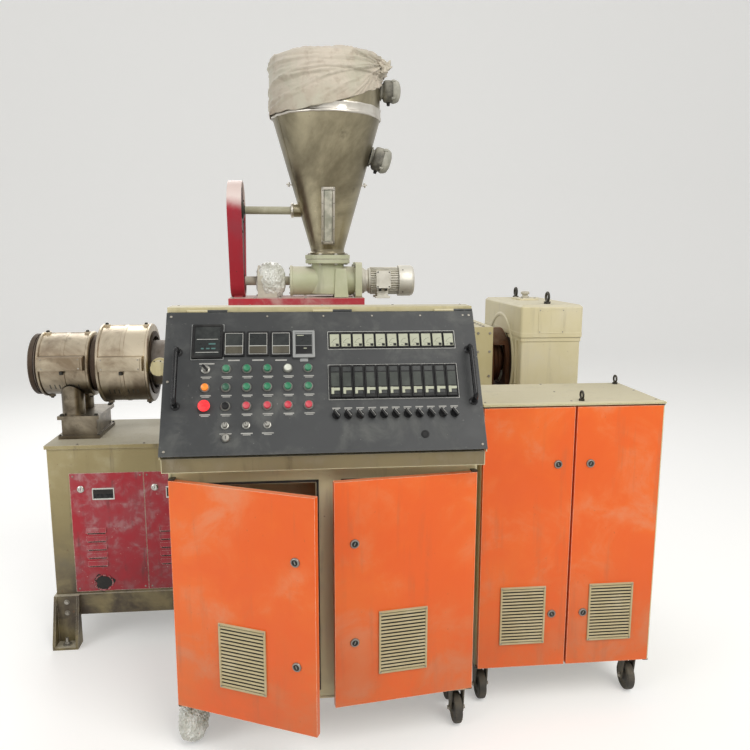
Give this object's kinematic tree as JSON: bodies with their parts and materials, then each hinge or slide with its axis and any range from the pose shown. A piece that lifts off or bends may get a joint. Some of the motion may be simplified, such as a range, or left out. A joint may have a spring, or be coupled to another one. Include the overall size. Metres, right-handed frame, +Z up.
{
  "type": "plastic extruder",
  "caption": "Plastic extruder: base, conical barrel with heater covers, transverse gearbox, feeder with hopper, sloped control console and an electrical cabinet.",
  "frame": {"origin": "on the floor, under the middle of the machine's bounding box", "axes": "+X along the barrel from the die to the gearbox, +Y from the console towards the back, +Z up"},
  "size_m": [2.238, 1.487, 2.314],
  "materials": {
    "machine_cream": "worn satin enamel",
    "panel_red": "faded satin enamel",
    "guard_red": "faded satin enamel",
    "door_orange": "satin powder coat, dusty",
    "lid_charcoal": "satin powder coat, dusty",
    "barrel_steel": "machined, darkened by heat",
    "cover_stainless": "stained stainless sheet",
    "hopper_stainless": "dull polished, dusty",
    "cloth_pale": "dusty woven cloth",
    "window_glass": "dusty",
    "dark_steel": "dark oily steel",
    "motor_grey": "dusty cast aluminium",
    "bearing_pale": "dusty",
    "black_plastic": "satin",
    "white_plastic": "satin",
    "button_plastic": "satin coloured caps",
    "grille_cream": "satin",
    "wheel_dark": "matt",
    "sensor_dark": "dusty"
  },
  "bodies": {
    "machine": {"base_body": "machine_cream", "base_feet": "machine_cream", "base_panels": "panel_red", "barrel": "barrel_steel", "heater_covers": "cover_stainless", "barrel_support": "cover_stainless", "vent_port": "machine_cream", "feed_throat": "barrel_steel", "distribution_housing": "machine_cream", "coupling_bell": "machine_cream", "gearbox_lower": "machine_cream", "gearbox_cover": "machine_cream", "lifting_eyes": "dark_steel", "belt_guard": "machine_cream", "feeder_tray": "guard_red", "feeder_housing": "machine_cream", "feeder_motor": "motor_grey", "chain_guard": "guard_red", "shaft_bearing": "bearing_pale", "hopper_body": "hopper_stainless", "hopper_ring": "hopper_stainless", "hopper_lid": "hopper_stainless", "hopper_cloth": "cloth_pale", "sight_window": "window_glass", "level_sensors": "sensor_dark", "console_front_frame": "machine_cream", "side_panels": "machine_cream", "back_panels": "machine_cream", "floor_plates": "machine_cream", "hood_sides": "machine_cream", "hood_top": "machine_cream", "cabinet_front_frame": "machine_cream", "cabinet_top": "machine_cream", "hinge_brackets": "dark_steel", "casters": "dark_steel", "caster_wheels": "wheel_dark", "wiring_ducts": "machine_cream"},
    "agitator": {"agitator_shaft": "hopper_stainless"},
    "control_lid": {"control_lid": "lid_charcoal", "lid_handles": "black_plastic", "panel_meters": "black_plastic", "ammeters": "white_plastic", "temperature_controllers": "black_plastic", "selector_knobs": "black_plastic", "push_buttons": "button_plastic"},
    "console_door_left": {"console_door_left": "door_orange", "console_door_left_fittings": "grille_cream"},
    "console_door_right": {"console_door_right": "door_orange", "console_door_right_fittings": "grille_cream"},
    "cabinet_door_left": {"cabinet_door_left": "door_orange", "cabinet_door_left_fittings": "grille_cream"},
    "cabinet_door_right": {"cabinet_door_right": "door_orange", "cabinet_door_right_fittings": "grille_cream"}
  },
  "joints": [
    {"name": "console_door_left_hinge", "type": "hinge", "parent": "machine", "child": "console_door_left", "pos_m": [-0.444, -0.54253, 0.5], "axis": [0, 0, -1], "range_deg": [-25, 65]},
    {"name": "console_door_right_hinge", "type": "hinge", "parent": "machine", "child": "console_door_right", "pos_m": [0.448, -0.54253, 0.5], "axis": [0, 0, 1], "range_deg": [-8, 82]},
    {"name": "cabinet_door_left_hinge", "type": "hinge", "parent": "machine", "child": "cabinet_door_left", "pos_m": [0.512, -0.41853, 0.6], "axis": [0, 0, -1], "range_deg": [0, 90]},
    {"name": "cabinet_door_right_hinge", "type": "hinge", "parent": "machine", "child": "cabinet_door_right", "pos_m": [1.094, -0.41853, 0.6], "axis": [0, 0, 1], "range_deg": [0, 110]},
    {"name": "control_lid_hinge", "type": "hinge", "parent": "machine", "child": "control_lid", "pos_m": [0.002, -0.36861, 1.35314], "axis": [-1, 0, 0], "range_deg": [0, 60]},
    {"name": "agitator_spin", "type": "hinge", "parent": "machine", "child": "agitator", "pos_m": [0.047, 0.38847, 1.7], "axis": [1, 0, 0], "continuous": true}
  ]
}
